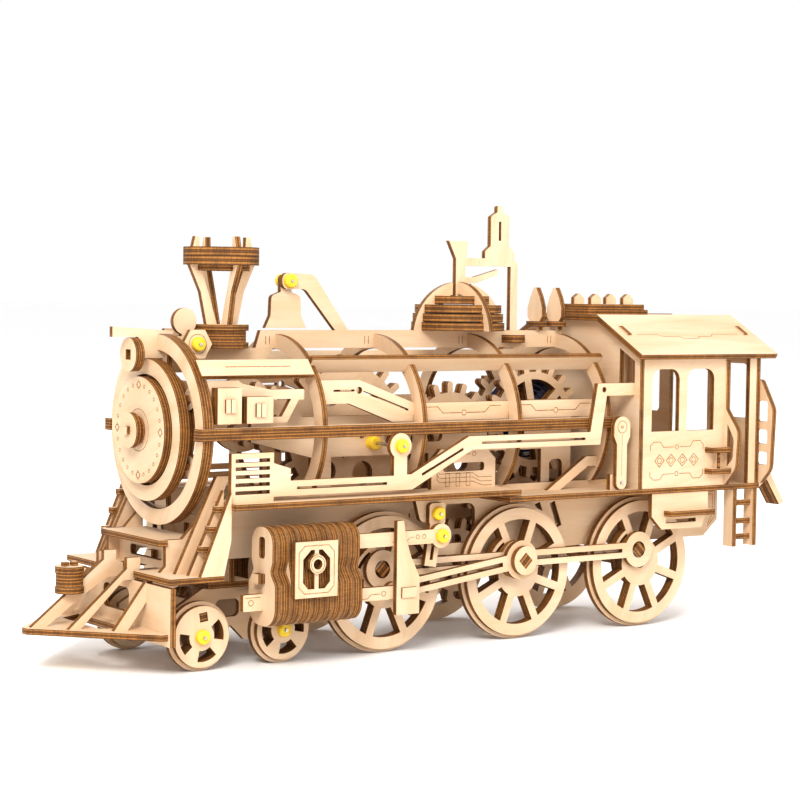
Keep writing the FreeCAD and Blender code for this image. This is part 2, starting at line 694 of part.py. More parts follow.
def lamps():
    """Headlamp under its long hood on the smokebox, and the marker lamps behind it."""
    lamp_z, lamp_x = 101.0, -143.2
    square_hole = square(0, lamp_z, 3.4)
    glass = [plate("yz", disc(0, lamp_z, 5.6), lamp_x + k * 1.6, lamp_x + (k + 1) * 1.6, [square_hole])
             for k in range(2)]
    x1 = FRONT_RING_X
    hood_x = -149.5
    outline = [(lamp_x + 3.2, 99.8), (x1 + PLY, 99.8), (x1 + PLY, 102.4), (x1, 102.4), (x1, 107.8),
               (-127, 107.8), (-127, 108.8), (hood_x, 110.2), (hood_x, 106.8), (lamp_x + 3.2, 106.8)]
    bracket = plate("xz", outline, -1, 1)
    lamp = [(MARKER_X - 1.2, 107), (MARKER_X + 1.2, 107), (MARKER_X + 1.2, 109), (MARKER_X - 1.2, 109)]
    marker = rod("xz", MARKER_X, 112, 4.4, -1, 1).fuse(plate("xz", lamp, -1, 1)).removeSplitter()
    six = [polar(MARKER_X, 104.6, 5.5, 60 * k) for k in range(6)]
    turrets = both([plate("xz", six, -9.7, -7.7, [disc(MARKER_X, 104.6, STEEL_R + 0.02)])])
    return glass + [bracket, marker] + turrets


def smokestack():
    """Balloon stack: stepped base, four flaring ribs and three rings."""
    base = [rod("xy", STACK_X, 0, radius, SPINE_FRONT_Z + 2 * k, SPINE_FRONT_Z + 2 * (k + 1))
            for k, radius in enumerate((9.5, 8.6, 8.6, 9.5))]
    foot = SPINE_FRONT_Z + 8
    half = [(2, foot), (6, foot), (8.4, foot + 11), (12.6, foot + 20), (11.5, foot + 20), (11.5, foot + 26),
            (10.6, foot + 29.5), (9.1, foot + 29.5), (8.7, foot + 20), (5.2, foot + 10)]
    ribs = []
    for sign in (-1, 1):
        ribs.append(plate("xz", [(STACK_X + sign * u, v) for u, v in half], -1, 1))
        ribs.append(plate("yz", [(sign * u, v) for u, v in half], STACK_X - 1, STACK_X + 1))
    rings = []
    for outer, inner, low, high in ((9.6, 5.4, 18, 20), (12.8, 7.5, 20, 23), (12.8, 7.5, 23, 26)):
        ring = plate("xy", disc(STACK_X, 0, outer), foot + low, foot + high, [disc(STACK_X, 0, inner)])
        rings += cut(ring, ribs)
    return base + ribs + rings


def dome():
    """Four discs under two crossed half-hoops."""
    centre_z, outer, inner = 106.0, 20.6, 16.2
    ribs = []
    for plane, u in (("xz", DOME_X), ("yz", 0.0)):
        w = 0.0 if plane == "xz" else DOME_X
        ring = plate(plane, disc(u, centre_z, outer), w - 1, w + 1, [disc(u, centre_z, inner)])
        tools = [box(-40, 40, -40, 40, 70, SPINE_TOP)]
        tools.append(box(DOME_X - 3.2, DOME_X + 5, -1, 1, 121.5, 130))
        ribs += cut(ring, tools)
    discs = []
    for k, radius in enumerate((17.0, 16.5, 15.8, 11.3)):
        low = SPINE_TOP + 3.2 * k
        discs += cut(rod("xy", DOME_X, 0, radius, low, low + 2.9), ribs)
    return discs + ribs


def whistle():
    """Bent pipe and whistle bottle cut as one upright plate, with its round foot."""
    outline = [(-10.2, 121.5), (-5.9, 121.5), (-5.9, 126.2), (-1, 126.2), (9, 129.4), (9, 131.4),
               (-2, 128.4), (-5.9, 128.4),
               (-5.9, 132.5), (15, 132.5), (15, SPINE_TOP), (18.3, SPINE_TOP), (18.3, 135.4, 3),
               (16.6, 135.4),
               (16.6, 138, 1), (14, 140), (14, 150.8, 1), (11, 152.5), (11, 154.8, 0.8), (8.4, 154.8, 0.8),
               (8.4, 152.5), (5.5, 150.8, 1), (5.5, 140), (3, 138, 1), (3, 135.4), (-5.6, 135.4),
               (-4.8, 141.5),
               (-13.5, 141.5), (-10.2, 135)]
    pipe = plate("xz", outline, -1, 1, [rect(9.2, 10.3, 142, 149)])
    foot = cut(rod("xy", 16.4, 0, 5.2, 104.5, 107.3), spine_plate())
    return [pipe] + foot


def safety_valves():
    """Two pointed valves, each a flat ogive with a collar."""
    outline = [(-2.4, SPINE_TOP), (2.4, SPINE_TOP), (2.6, 112), (4.3, 114.2), (4.3, 117.5), (2.8, 121.5),
               (0.7, 125),
               (-0.7, 125), (-2.8, 121.5), (-4.3, 117.5), (-4.3, 114.2), (-2.6, 112)]
    pieces = []
    for x in (28.5, 37.8):
        valve = plate("yz", outline, x - 1, x + 1)
        collar = rod("xy", x, 0, 3.9, 110.4, 112.4)
        pieces += [valve] + cut(collar, [valve])
    return pieces


def bell():
    """Flat bell with a rounded neck and a flared mouth."""
    x, z = BELL_PIN
    outline = [(x - 2.2, z + 2.2, 1.6), (x + 2.2, z + 2.2, 1.6), (x + 2.2, z - 3.8), (x + 5.9, z - 5.2, 1.6),
               (x + 6.2, z - 12, 2), (x + 8.3, z - 16.3), (x - 8.3, z - 16.3), (x - 6.2, z - 12, 2),
               (x - 5.9, z - 5.2, 1.6), (x - 2.2, z - 3.8)]
    return [plate("xz", outline, 1.2, 3.2, [disc(x, z, STEEL_R + SLIDE)])]


# ------------------------------------------------------------ pipes and panels
PIPE_BOSS = (-57.5, 70.5)


def side_pipes():
    """Long bent pipe plate outside the boiler on each side."""
    outline = [(-124, 54), (-108, 54), (-108, 55.5), (-52.5, 55.5), (-27, 68.3), (31, 68.3), (33.8, 86),
               (CAB_FRONT, 86),
               (CAB_FRONT, 90.5), (29.5, 90.5), (26.3, 73), (-28.5, 73), (-53, 60.7), (-54.8, 60.7),
               (-54.8, 70.5),
               (-60.2, 70.5), (-60.2, 60.5), (-101.5, 60.5), (-101.5, 64.5), (-108, 66.5), (-108, 70),
               (-124, 70)]
    y0, y1 = -RAIL_Y - PLY, -RAIL_Y
    whole = plate("xz", outline, y0, y1).fuse(rod("xz", *PIPE_BOSS, 4.4, y0, y1)).removeSplitter()
    slots = [rect(-122.5, -109.5, 56.6 + 2.6 * k, 57.8 + 2.6 * k) for k in range(5)]
    slots += [strip((-99, 58), (-63, 58), 0.9), strip((-23, 70.6), (24, 70.6), 0.9),
              strip((-48.5, 60.4), (-31, 68.7), 0.9)]
    slots += [disc(32.5, 88.2, 1.0), disc(*PIPE_BOSS, STEEL_R + 0.02)]
    return both(cut(whole, [plate("xz", slot, y0, y1) for slot in slots]))


def bay_panels():
    """Flat panels between the hoops, with the lubricator boxes and their pegs in front."""
    y0, y1 = -26.0, -24.0
    first, second, third, fourth = HOOP_X
    front = FRONT_RING_X + 2 * PLY
    outlines = [
        [(front, 79), (front, 93.2), (-116.5, 93.2), (-114.5, 92), (-104, 90), (first - 5, 90),
         (first - 5, 86.5), (-93, 86.5), (-97.5, 79)],
        [(first + 1, 92.8), (-69, 92.8), (second - 1, 84.5), (second - 1, 78.2), (-55, 78.2), (-73, 84.8),
         (first + 1, 84.8)],
        [(second + 1, 78.2), (third - 1, 78.2), (third - 1, 84.4), (second + 1, 84.4)],
        [(third + 1, 78.2), (fourth - 1, 78.2), (fourth - 1, 84.4), (third + 1, 84.4)],
        [(-38, FRONT_DECK_TOP), (-10, FRONT_DECK_TOP), (-10, 64), (-14, 68), (-34, 68), (-38, 64)],
        [(14, DECK_TOP), (20, DECK_TOP), (33, 59.7), (fourth - 1, 59.7), (fourth - 1, 63.3), (32, 63.3)],
    ]
    holes = [[[(-104, 86.8), (-96, 86.8), (-99.6, 81), (-104, 81)]],
             [disc(-68.8, 89.2, 1.2), strip((-79.3, 89.2), (-70.7, 89.2), 0.7),
              strip((-67.1, 88.7), (-48.3, 82.1), 0.7)],
             [], [], [rect(-33, -15, 60, 63, 1)], []]
    panels = [plate("xz", outline, y0, y1, hole) for outline, hole in zip(outlines, holes)]
    boxes = []
    for x0, x1, z1 in ((-127, -118, 91), (-116, -106, 88)):
        outline = rect(x0, x1, 79.3, z1)
        boxes += [plate("xz", outline, -31, -29), plate("xz", outline, -29, -27)]
        middle = (x0 + x1) / 2
        centre_z = (79.3 + z1) / 2
        boxes.append(box(middle - 1.2, middle + 1.2, -27, y0, 83, 85.4))
        for side in (-1.0, 1.0):
            peg = rect(middle + side - 0.85, middle + side + 0.85, centre_z - 2.2, centre_z + 2.2)
            boxes.append(plate("xz", peg, -31.9, -31))
    return both(panels + boxes)


# ------------------------------------------------------------ clockwork
def mesh_centre(a, b, reach_a, reach_b, side):
    """Centre at the given distances from a and b, on the chosen side of the line a to b."""
    du, dv = b[0] - a[0], b[1] - a[1]
    gap = math.hypot(du, dv)
    along = (reach_a ** 2 - reach_b ** 2 + gap ** 2) / (2 * gap)
    off = side * math.sqrt(reach_a ** 2 - along ** 2)
    return (a[0] + (along * du - off * dv) / gap, a[1] + (along * dv + off * du) / gap)


def level_centre(a, reach, drop):
    """Centre ahead of a at the given distance, drop above or below it."""
    return (a[0] - math.sqrt(reach ** 2 - drop ** 2), a[1] + drop)


def pitch_r(teeth):
    return teeth * GEAR_MODULE / 2


AXLE_TEETH = 14
LINK_TEETH = 19
LINK_PINION_TEETH = 12
DRUM_TEETH = 20
SECOND_TEETH = 19
GREAT_TEETH = 26
GOVERNOR_TEETH = 10

AXLE_GEAR = (0.0, WHEEL_Z)
DRUM = (22.0, BOILER_Z)
LINK = mesh_centre(AXLE_GEAR, DRUM, pitch_r(AXLE_TEETH + LINK_TEETH),
                   pitch_r(LINK_PINION_TEETH + DRUM_TEETH), -1)
SECOND = level_centre(DRUM, pitch_r(DRUM_TEETH + SECOND_TEETH), -6.0)
GREAT = level_centre(SECOND, pitch_r(SECOND_TEETH + GREAT_TEETH), 3.0)
GOVERNOR = level_centre(GREAT, pitch_r(GREAT_TEETH + GOVERNOR_TEETH), 7.0)


def meshed_phase(a, teeth_a, phase_a, b, teeth_b):
    """Angle of the first tooth of wheel b so that it stands in a gap of wheel a."""
    towards = math.degrees(math.atan2(b[1] - a[1], b[0] - a[0]))
    share = ((towards - phase_a) * teeth_a / 360) % 1.0
    return towards + 180 - (0.5 - share) * 360 / teeth_b


LINK_PHASE = meshed_phase(AXLE_GEAR, AXLE_TEETH, 0.0, LINK, LINK_TEETH)
DRUM_PHASE = meshed_phase(LINK, LINK_PINION_TEETH, LINK_PHASE, DRUM, DRUM_TEETH)
SECOND_PHASE = meshed_phase(DRUM, DRUM_TEETH, DRUM_PHASE, SECOND, SECOND_TEETH)
GREAT_PHASE = meshed_phase(SECOND, SECOND_TEETH, SECOND_PHASE, GREAT, GREAT_TEETH)
GOVERNOR_PHASE = meshed_phase(GREAT, GREAT_TEETH, GREAT_PHASE, GOVERNOR, GOVERNOR_TEETH)


def gear_wire(centre, teeth, phase, w):
    """Finger teeth with parallel flanks and rounded tips."""
    u, v = centre
    root = pitch_r(teeth) - 2.2
    shoulder = pitch_r(teeth) + 0.3
    tip = pitch_r(teeth) + 1.7
    half = TOOTH_HALF

    def place(angle, along, across):
        c, s = math.cos(angle), math.sin(angle)
        return at("xz", u + along * c - across * s, v + along * s + across * c, w)

    root_along = math.sqrt(root ** 2 - half ** 2)
    step = 2 * math.pi / teeth
    edges = []
    for k in range(teeth):
        angle = math.radians(phase) + k * step
        foot_low = place(angle, root_along, -half)
        neck_low = place(angle, shoulder, -half)
        peak = place(angle, tip, 0)
        neck_high = place(angle, shoulder, half)
        foot_high = place(angle, root_along, half)
        following = place(angle + step, root_along, -half)
        valley = place(angle + step / 2, root, 0)
        edges.append(line_edge(foot_low, neck_low))
        edges.append(Part.Arc(neck_low, peak, neck_high).toShape())
        edges.append(line_edge(neck_high, foot_high))
        edges.append(Part.Arc(foot_high, valley, following).toShape())
    return Part.Wire(edges)


def gear_plate(centre, teeth, phase, y0, holes=()):
    outline = gear_wire(centre, teeth, phase, y0)
    return plate("xz", outline, y0, y0 + GEAR_WIDTH, list(holes) + [disc(*centre, GEAR_PIN_R + 0.02)])


def gear_pin(centre):
    half = PLATE_Y + PLY - 0.1
    return rod("xz", *centre, GEAR_PIN_R, -half, half)


def round_windows(centre, count, ring, radius, first):
    return [disc(*polar(*centre, ring, first + 360 * k / count), radius) for k in range(count)]


def arc_windows(centre, count, inner, outer, first, rib):
    step = 360 / count
    return [sector(*centre, inner, outer, first + k * step, first + (k + 1) * step, rib)
            for k in range(count)]


def axle_gear():
    holes = round_windows(AXLE_GEAR, 5, 7.6, 2.2, 20) + [disc(*AXLE_GEAR, AXLE_R + 0.02)]
    return [plate("xz", gear_wire(AXLE_GEAR, AXLE_TEETH, 0.0, LINK_GEAR_Y), LINK_GEAR_Y,
                  LINK_GEAR_Y + GEAR_WIDTH, holes)]


def link_gear():
    """Wheel driven by the axle gear, with the pinion that turns the spring drum."""
    wheel = gear_plate(LINK, LINK_TEETH, LINK_PHASE, LINK_GEAR_Y, arc_windows(LINK, 5, 6, 13.5, 0, 1.6))
    pinion = gear_plate(LINK, LINK_PINION_TEETH, LINK_PHASE, FAR_GEAR_Y)
    collar = plate("xz", disc(*LINK, 5.0), FAR_GEAR_Y + GEAR_WIDTH, LINK_GEAR_Y,
                   [disc(*LINK, GEAR_PIN_R + 0.02)])
    return [wheel, pinion, collar]


def spring_drum():
    """Two toothed discs and the hub between them that hold the clockwork spring."""
    windows = arc_windows(DRUM, 6, 6.5, 15, DRUM_PHASE, 1.6)
    hub = plate("xz", disc(*DRUM, 4.1), NEAR_GEAR_Y + GEAR_WIDTH, FAR_GEAR_Y,
                [disc(*DRUM, GEAR_PIN_R + 0.02)])
    near = gear_plate(DRUM, DRUM_TEETH, DRUM_PHASE, NEAR_GEAR_Y, windows)
    far = gear_plate(DRUM, DRUM_TEETH, DRUM_PHASE, FAR_GEAR_Y, windows)
    return [near, far, hub]


def spiral_wire(centre, w, inner, pitch, thick, halves):
    """Closed outline of a flat spiral made of half circles about two centres."""
    def run(offset):
        arcs = []
        for k in range(halves):
            side = -1 if k % 2 else 1
            radius = inner + offset + k * pitch / 2
            shift = side * pitch / 4
            arcs.append((centre[0] + shift, radius, side))
        return arcs

    outer_arcs = []
    inner_arcs = []
    for arcs, target in ((run(thick), outer_arcs), (run(0.0), inner_arcs)):
        for x, radius, side in arcs:
            first, last = (180, 0) if side > 0 else (0, -180)
            target.append([at("xz", *polar(x, centre[1], radius, a), w)
                           for a in (first, (first + last) / 2, last)])
    edges = [Part.Arc(*points).toShape() for points in outer_arcs]
    edges.append(line_edge(outer_arcs[-1][2], inner_arcs[-1][2]))
    edges += [Part.Arc(*reversed(points)).toShape() for points in reversed(inner_arcs)]
    edges.append(line_edge(inner_arcs[0][0], outer_arcs[0][0]))
    return Part.Wire(edges)


def mainspring():
    """Flat coiled ribbon wound on the drum hub."""
    y0, y1 = NEAR_GEAR_Y + GEAR_WIDTH + 0.3, FAR_GEAR_Y - 0.3
    return [plate("xz", spiral_wire(DRUM, y0, 4.6, 2.0, 0.7, 11), y0, y1)]


def second_gear():
    return [gear_plate(SECOND, SECOND_TEETH, SECOND_PHASE, NEAR_GEAR_Y,
                       round_windows(SECOND, 6, 10.2, 3.0, 0))]


def great_gear():
    """Largest wheel, with round lightening holes and square pegs round the hub."""
    holes = round_windows(GREAT, 6, 15.5, 4.2, GREAT_PHASE)
    wheel = gear_plate(GREAT, GREAT_TEETH, GREAT_PHASE, NEAR_GEAR_Y, holes)
    pegs = [plate("xz", square(*polar(*GREAT, 7.0, GREAT_PHASE + 30 + 120 * k), 2.6), NEAR_GEAR_Y - 1,
                  NEAR_GEAR_Y) for k in range(3)]
    return [wheel] + pegs


def governor():
    """Fast pinion with the flywheel disc on the same pin."""
    pinion = gear_plate(GOVERNOR, GOVERNOR_TEETH, GOVERNOR_PHASE, NEAR_GEAR_Y)
    windows = arc_windows(GOVERNOR, 4, 4.5, 10.3, 20, 1.2)
    flywheel = plate("xz", disc(*GOVERNOR, 13.0), 4, 6, windows + [disc(*GOVERNOR, GEAR_PIN_R + 0.02)])
    return [pinion, flywheel]


def gear_side_plates():
    """Long plates inside the boiler that carry every gear pin."""
    outline = [(-106, 72), (-106, 86), (-90, 86), (-86, 80), (8, 80), (12, 84), (32, 84), (32, 38),
               (18, 38), (18, 66),
               (-25, 66), (-25, 46), (-33, 46), (-33, 66), (-74, 66), (-74, 46), (-82, 46), (-82, 66),
               (-90, 68)]
    holes = [disc(*centre, GEAR_PIN_R + SLIDE) for centre in (LINK, DRUM, SECOND, GREAT, GOVERNOR)]
    holes += [rect(-52, -27, 70, 76, 2), rect(-7, 10, 70, 76, 2), rect(22, 28, 50, 62, 2)]
    side = plate("xz", outline, -PLATE_Y - PLY, -PLATE_Y, holes)
    spacers = [box(x0, x1, -FRAME_Y, -PLATE_Y - PLY, 47, 51) for x0, x1 in ((-81, -75), (-32, -26), (20, 30))]
    return both([side] + spacers)


# ------------------------------------------------------------ cab
def roof_under(y):
    """Height of the underside of the sloping roof at a distance y from the middle."""
    return RIDGE_Z + (EAVE_Z - RIDGE_Z) * (y - RIDGE_Y) / (EAVE_Y - RIDGE_Y)


def cab_end_walls():
    """Front and rear walls shaped to the roof, each with two tabs through it."""
    tab_low, tab_high, reach = 25.5, 30.5, 2.9
    right = [(CAB_SIDE_Y, DECK_TOP), (CAB_SIDE_Y, roof_under(CAB_SIDE_Y)), (tab_high, roof_under(tab_high)),
             (tab_high, roof_under(tab_high) + reach), (tab_low, roof_under(tab_low) + reach),
             (tab_low, roof_under(tab_low)), (RIDGE_Y, RIDGE_Z)]
    outline = right + [(-u, v) for u, v in reversed(right)]
    narrow = [(26.5, 88), (35, 88), (35, 98.5), (26.5, 103)]
    front_holes = [narrow, [(-u, v) for u, v in narrow]]
    light = rect(17, 33, 76, 97, 2)
    rear_holes = [light, [(-u, v, r) for u, v, r in light], rect(-11, 11, 54, 97, 3)]
    front = plate("yz", outline, CAB_FRONT, CAB_FRONT + PLY, front_holes)
    rear = plate("yz", outline, CAB_REAR, CAB_REAR + PLY, rear_holes)
    return [front, rear]


def cab_side_walls():
    """Side walls with two windows, and the narrow strip behind the doorway."""
    y0, y1 = -CAB_SIDE_Y, -CAB_SIDE_Y + PLY
    top = roof_under(CAB_SIDE_Y)
    windows = [[(53, 72.5), (66.5, 72.5), (66.5, 95.5, 4), (53, 95.5, 4)],
               [(70.5, 72.5), (84, 72.5), (84, 95.5, 4), (70.5, 95.5, 4)]]
    front = plate("xz", rect(CAB_FRONT + PLY, 90, DECK_TOP, top), y0, y1, windows)
    rear = plate("xz", rect(102.5, CAB_REAR, DECK_TOP, top), y0, y1)
    return both([front, rear])


def cab_roof():
    """Two sloping sheets, the flat ridge and the hatch with its curved brackets."""
    lean = math.atan2(RIDGE_Z - EAVE_Z, EAVE_Y - RIDGE_Y)
    rise = PLY / math.cos(lean)
    profile = [(-EAVE_Y, EAVE_Z), (-RIDGE_Y, RIDGE_Z), (-RIDGE_Y, RIDGE_Z + rise),
               (-EAVE_Y - PLY * math.sin(lean), EAVE_Z + PLY * math.cos(lean))]
    slope = cut(plate("yz", profile, ROOF_FRONT, ROOF_REAR), cab_end_walls())
    ridge = box(ROOF_FRONT, ROOF_REAR, -RIDGE_Y, RIDGE_Y, RIDGE_Z, RIDGE_Z + PLY)
    hatch = [plate("xy", rect(46 + k, 76 - k, -10 + k, 10 - k, 2), 115 + 2 * k, 117 + 2 * k)
             for k in range(2)]
    knob = [(0, 119), (5, 119), (5, 121), (2.5, 123.2, 1), (0, 121.4)]
    knobs = [plate("xz", [(x + u, *rest) for u, *rest in knob], y - 1, y + 1) for x in (50, 66)
             for y in (-5, 5)]
    return both(slope) + [ridge] + hatch + knobs


def cab_rails():
    """Bulging handrail plates beside the doorways, tool racks, steps, ladders and the rear brackets."""
    y = CAB_SIDE_Y
    hand = [(-36, DECK_TOP), (-38.4, DECK_TOP), (-44, 58, 5), (-45, 72, 5), (-38.4, 80, 2), (-38.4, 98.5),
            (-36, 98.5)]
    gap = [(-39.4, 58.5), (-42.4, 61.5, 2), (-42.9, 69, 3), (-39.4, 74.5)]
    rails = [plate("yz", hand, 90, 92, [gap])]
    rear = [(-33.5, DECK_TOP), (-39, DECK_TOP), (-44, 57, 5), (-45, 80, 5), (-38.4, 91, 2), (-33.5, 91)]
    gaps = [rect(-42.3, -36, low, high, 1) for low, high in ((58.5, 63.5), (66.5, 72), (75, 83))]
    rails.append(plate("yz", rear, CAB_REAR + PLY, CAB_REAR + 2 * PLY, gaps))
    rails += [box(80, 89.8, -y - 4, -y, z, z + PLY) for z in (56, 64)]
    rails.append(rod("xy", 85, -y - 2.2, 0.6, 58, 64))
    plate_low = [(54, DECK_TOP - PLY), (82, DECK_TOP - PLY), (82, 43), (79, 36), (59, 36), (54, 41)]
    rails.append(plate("xz", plate_low, -y, -y + PLY, [rect(61, 76, 38.2, 39.6)]))
    rails.append(box(60, 82, -y - 4, -y, 41, 43))
    for x in (95, 105.5):
        rails.append(box(x, x + PLY, -y, -33, 27.5, DECK_TOP - PLY))
    rails += [box(97, 105.5, -36.5, -34.5, z, z + PLY) for z in (30, 36, 43)]
    bracket = [(108, DECK_TOP), (110, DECK_TOP), (110, 53.8), (111.5, 55.5), (114.3, 55.5), (122, 43.5),
               (119.6, 42.5),
               (112.6, 52.6), (108, DECK_TOP - PLY)]
    rails.append(plate("xz", bracket, -y, -31))
    return both(rails)


CONTROL_PIN = (39.6, 54.2)


def control_lever():
    """Tall hand lever outside the pipe, on the near side only."""
    x, z = CONTROL_PIN
    outline = [(x - 2.4, z - 2.4, 2.3), (x + 2.4, z - 2.4, 2.3), (x + 2.4, z + 14), (x + 3.8, z + 17),
               (x + 3.8, z + 24.2, 3.7),
               (x - 3.8, z + 24.2, 3.7), (x - 3.8, z + 17), (x - 2.4, z + 14)]
    return [plate("xz", outline, -37.2, -35.2, [disc(x, z, STEEL_R + SLIDE)])]


def control_bracket():
    x, z = CONTROL_PIN
    return [plate("xz", rect(x - 3.5, x + 3.5, DECK_TOP, z + 3), -35.0, -33.0, [disc(x, z, STEEL_R + 0.02)])]


# ------------------------------------------------------------ fixed wire pins and caps
def static_pins():
    bx, bz = BELL_PIN
    pins = [rod("xz", bx, bz, STEEL_R, -3.4, 5.7), rod("xz", MARKER_X, 104.6, STEEL_R, -12.2, 12.2)]
    pins += both([rod("xz", *LEVER_PIN, STEEL_R, -35.8, -28.8)])
    pins += both([rod("xz", *PIPE_BOSS, STEEL_R, -37.6, -PLATE_Y - PLY)])
    pins.append(rod("xz", *CONTROL_PIN, STEEL_R, -37.8, -30.4))
    return pins


def static_caps():
    bx, bz = BELL_PIN
    caps = [pin_cap(bx, bz, -2.9, -1.0), mirror_solid(pin_cap(bx, bz, -5.2, -3.3))]
    caps += both([pin_cap(MARKER_X, 104.6, -11.6, -9.7), pin_cap(*LEVER_PIN, -35.1, -33.3),
                  pin_cap(*PIPE_BOSS, -37.0, -35.0), pin_cap(*PIPE_BOSS, -20.5, -PLATE_Y - PLY)])
    caps.append(mirror_solid(pin_cap(*CONTROL_PIN, 31.0, 33.0)))
    return caps


# ------------------------------------------------------------ output
def export(name, solids):
    whole = Part.makeCompound(list(solids))
    whole.translate(Vector(ORIGIN_SHIFT_X, 0, DRIVER_FLANGE_R - DRIVER_R))
    whole.exportStep("parts/" + name + ".step")


def export_sides(name, near_solids):
    """The same moving piece on both sides of the engine, as two parts."""
    export("near_" + name, near_solids)
    export("far_" + name, [mirror_solid(solid) for solid in near_solids])


def main():
    os.makedirs("parts", exist_ok=True)
    export("main_frames", main_frames())
    export("cross_members", frame_ties() + truck_frame())
    export("pilot", pilot())
    export("coupler_drum", coupler_drum())
    export("front_platforms", front_platforms())
    export("front_stairs", front_stairs())
    export("decks", decks())
    export("cylinder_layers", both(cylinder_side()))
    export("cylinder_covers", cylinder_covers() + cylinder_fittings())
    export("valve_brackets", valve_bracket() + control_bracket())
    export("boiler_hoops", boiler_hoops())
    export("mid_rails", mid_rails())
    export("upper_rails", upper_rails())
    export("spine_plate", spine_plate())
    export("smokebox_front", smokebox_front())
    export("smokebox_door", smokebox_door())
    export("lamps", lamps())
    export("smokestack", smokestack())
    export("dome", dome())
    export("whistle_and_valves", whistle() + safety_valves())
    export("side_pipes", side_pipes())
    export("bay_panels", bay_panels())
    export("gear_side_plates", gear_side_plates())
    export("cab_side_walls", cab_side_walls())
    export("cab_end_walls", cab_end_walls())
    export("cab_roof", cab_roof())
    export("cab_rails", cab_rails())
    export("static_pins", static_pins())
    export("static_caps", static_caps())

    export("front_drivers", driver_set(WHEEL_X[0], SHORT_PEG_Y))
    export("middle_drivers", driver_set(WHEEL_X[1], LONG_PEG_Y) + crank_caps())
    export("rear_drivers", driver_set(WHEEL_X[2], SHORT_PEG_Y))
    export("axle_gear", axle_gear())
    export_sides("side_rod", side_rod())
    export_sides("main_rod", main_rod())
    export_sides("crosshead", crosshead())
    export_sides("valve_lever", valve_lever())
    export_sides("valve_rod", valve_rod() + valve_rod_pin())
    export_sides("valve_rod_cap", valve_rod_cap())
    for name, x in zip(("leading", "trailing"), TRUCK_X):
        export(name + "_truck_wheels", truck_wheels(x))
        export(name + "_truck_axle", truck_axle(x))
        export(name + "_truck_caps", truck_caps(x))
    export("bell", bell())
    export("control_lever", control_lever())
    export("link_gear", link_gear() + [gear_pin(LINK)])
    export("spring_drum", spring_drum() + [gear_pin(DRUM)])
    export("mainspring", mainspring())
    export("second_gear", second_gear() + [gear_pin(SECOND)])
    export("great_gear", great_gear() + [gear_pin(GREAT)])
    export("governor", governor() + [gear_pin(GOVERNOR)])


main()
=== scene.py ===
"""Looks of the wooden clockwork locomotive: laser-cut plywood with burnt edges, fine engraved lines,
wire pins with yellow caps, a dark blue spring, and a plain bright studio."""

import json
import math
import random

import bmesh
import bpy
import numpy as np
from mathutils import Matrix, Vector


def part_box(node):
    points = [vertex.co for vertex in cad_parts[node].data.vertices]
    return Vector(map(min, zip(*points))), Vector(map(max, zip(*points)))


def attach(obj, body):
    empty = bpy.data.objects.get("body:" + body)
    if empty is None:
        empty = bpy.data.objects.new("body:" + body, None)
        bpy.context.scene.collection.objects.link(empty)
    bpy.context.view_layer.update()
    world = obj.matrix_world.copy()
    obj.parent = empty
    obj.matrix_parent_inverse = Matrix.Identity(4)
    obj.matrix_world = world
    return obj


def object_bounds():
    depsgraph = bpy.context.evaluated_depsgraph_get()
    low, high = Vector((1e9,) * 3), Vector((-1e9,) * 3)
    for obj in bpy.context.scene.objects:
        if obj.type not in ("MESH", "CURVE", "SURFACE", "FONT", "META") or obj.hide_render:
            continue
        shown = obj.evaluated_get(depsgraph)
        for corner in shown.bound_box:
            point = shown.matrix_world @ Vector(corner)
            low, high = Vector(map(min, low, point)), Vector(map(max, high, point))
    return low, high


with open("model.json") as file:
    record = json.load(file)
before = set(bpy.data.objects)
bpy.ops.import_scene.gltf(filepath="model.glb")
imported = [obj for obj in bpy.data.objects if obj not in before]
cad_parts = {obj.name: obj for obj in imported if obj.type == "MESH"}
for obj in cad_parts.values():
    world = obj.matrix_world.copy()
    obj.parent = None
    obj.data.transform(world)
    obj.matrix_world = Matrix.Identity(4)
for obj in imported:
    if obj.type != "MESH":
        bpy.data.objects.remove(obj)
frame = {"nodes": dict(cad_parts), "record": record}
cad_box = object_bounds()

MM = 0.001

middle_low, middle_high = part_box("middle_drivers")
AXLE_X = (middle_low.x + middle_high.x) / 2
TYRE_R = 23.0
FLANGE_DROP = (middle_high.z - middle_low.z) / 2 - TYRE_R * MM


def place(x, y, z):
    return Vector((AXLE_X + x * MM, y * MM, FLANGE_DROP + z * MM))


def on_sheet(plane, u, v, w):
    """Point u, v of a sheet in the xz or yz plane at depth w, all in millimetres."""
    if plane == "xz":
        return place(u, w, v)
    return place(w, u, v)


# ------------------------------------------------------------ which board is which
WELD_PER_M = 1e6        # points closer than one part of a metre by this number are one point
NORMAL_BINS = 20        # steps of a normal's component that count as one direction
LEAN_Y, LEAN_Z = 0.31, 0.17     # weights that tell a direction from its opposite
EDGE_COS = 0.85         # a face that leans further than this from the board's normal is a cut edge
ROUND_SHARE = 0.72      # a board wider than this share of its length gets a grain in any direction
BOARD_SEED = 7


